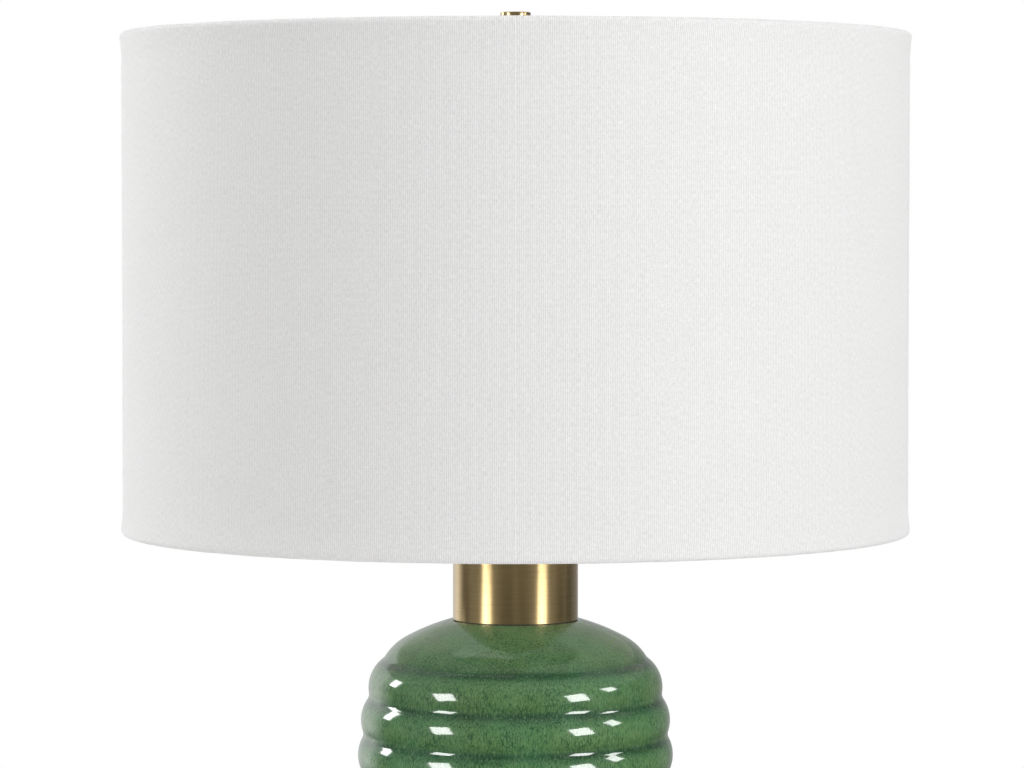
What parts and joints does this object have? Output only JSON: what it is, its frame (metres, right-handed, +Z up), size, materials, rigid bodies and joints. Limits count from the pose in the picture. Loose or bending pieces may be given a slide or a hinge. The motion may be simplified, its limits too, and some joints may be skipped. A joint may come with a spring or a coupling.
{
  "type": "ginger jar table lamp",
  "caption": "Table lamp with a ribbed, crackle-glazed ginger jar body, brushed brass neck and foot, a harp and a white linen drum shade held by a finial.",
  "frame": {"origin": "on the table top, at the middle of the foot, on the lamp's axis", "axes": "+Z up along the lamp's axis; the switch knob faces -Y, the cord inlet is at +Y, the harp lies in the X-Z plane"},
  "size_m": [0.4083, 0.4084, 0.635],
  "materials": {
    "felt": "dark wool felt",
    "fibreboard": "pressed fibreboard",
    "antique_brass": "brushed round the axis, antiqued, lacquered",
    "black_plastic": "moulded, fine satin",
    "gasket_rubber": "dark thin sheet",
    "green_crackle_glaze": "glossy, fine crackle, green, darker where it pools",
    "zinc_steel": "zinc plated",
    "socket_brass": "bright plated",
    "insulating_paper": "pressed fibre paper",
    "contact_metal": "plain stamped sheet",
    "opal_glass": "soft white inside coating",
    "bulb_aluminium": "rolled",
    "black_insulator": "black vitreous insulator",
    "solder": "dull solder",
    "white_wire": "white enamelled wire",
    "white_linen": "plain weave linen with slubs, matt",
    "white_styrene": "smooth white sheet"
  },
  "bodies": {
    "stand": {"felt_pad": "felt", "base_cover": "fibreboard", "base_cup": "antique_brass", "cord_bushing": "black_plastic", "foot_gasket": "gasket_rubber", "jar": "green_crackle_glaze", "mouth_plate": "zinc_steel", "neck_gasket": "gasket_rubber", "neck_collar": "antique_brass", "lamp_pipe": "zinc_steel", "pipe_nuts": "zinc_steel", "pipe_washer": "zinc_steel", "socket_cap": "socket_brass", "cap_set_screw": "zinc_steel", "socket_shell": "socket_brass", "insulating_sleeve": "insulating_paper", "socket_core": "black_plastic", "terminal_screws": "socket_brass", "screw_shell": "contact_metal", "centre_contact": "contact_metal", "harp_saddle": "socket_brass", "harp": "socket_brass", "harp_stud": "socket_brass"},
    "switch": {"switch_shaft": "zinc_steel", "switch_knob": "black_plastic"},
    "bulb": {"bulb_glass": "opal_glass"},
    "bulb_base": {"bulb_screw_base": "bulb_aluminium", "bulb_insulator": "black_insulator", "bulb_contact": "solder"},
    "sleeve_left": {"harp_sleeve_left": "socket_brass"},
    "sleeve_right": {"harp_sleeve_right": "socket_brass"},
    "washer": {"seat_washer": "socket_brass"},
    "shade": {"spider_hub": "white_wire", "spider_arms": "white_wire", "shade_top_ring": "white_wire", "shade_bottom_ring": "white_wire", "shade_fabric": "white_linen", "shade_liner": "white_styrene"},
    "finial_bush": {"finial_insert": "zinc_steel"},
    "finial": {"finial_knob": "antique_brass"}
  },
  "joints": [
    {"name": "switch_turn", "type": "hinge", "parent": "stand", "child": "switch", "pos_m": [0, -0.02, 0.4105], "axis": [0, -1, 0], "continuous": true},
    {"name": "bulb_rise", "type": "slide", "parent": "stand", "child": "bulb", "axis": [0, 0, 1], "range_m": [0, 0.0181]},
    {"name": "bulb_turn", "type": "hinge", "parent": "bulb", "child": "bulb_base", "pos_m": [0, 0, 0.437], "axis": [0, 0, 1], "range_deg": [0, 1800]},
    {"name": "sleeve_left_lift", "type": "slide", "parent": "stand", "child": "sleeve_left", "axis": [0, 0, 1], "range_m": [0, 0.013]},
    {"name": "sleeve_right_lift", "type": "slide", "parent": "stand", "child": "sleeve_right", "axis": [0, 0, 1], "range_m": [0, 0.013]},
    {"name": "shade_turn", "type": "hinge", "parent": "stand", "child": "washer", "pos_m": [0, 0, 0.608], "axis": [0, 0, 1], "continuous": true},
    {"name": "shade_lift", "type": "slide", "parent": "washer", "child": "shade", "axis": [0, 0, 1], "range_m": [0, 0.26]},
    {"name": "finial_rise", "type": "slide", "parent": "shade", "child": "finial_bush", "axis": [0, 0, 1], "range_m": [0, 0.0103]},
    {"name": "finial_turn", "type": "hinge", "parent": "finial_bush", "child": "finial", "pos_m": [0, 0, 0.618], "axis": [0, 0, 1], "range_deg": [0, 3960]}
  ],
  "couplings": [
    {"joint": "bulb_turn", "follows": "bulb_rise", "rad_per_m": 1731.6},
    {"joint": "finial_turn", "follows": "finial_rise", "rad_per_m": 6679}
  ]
}
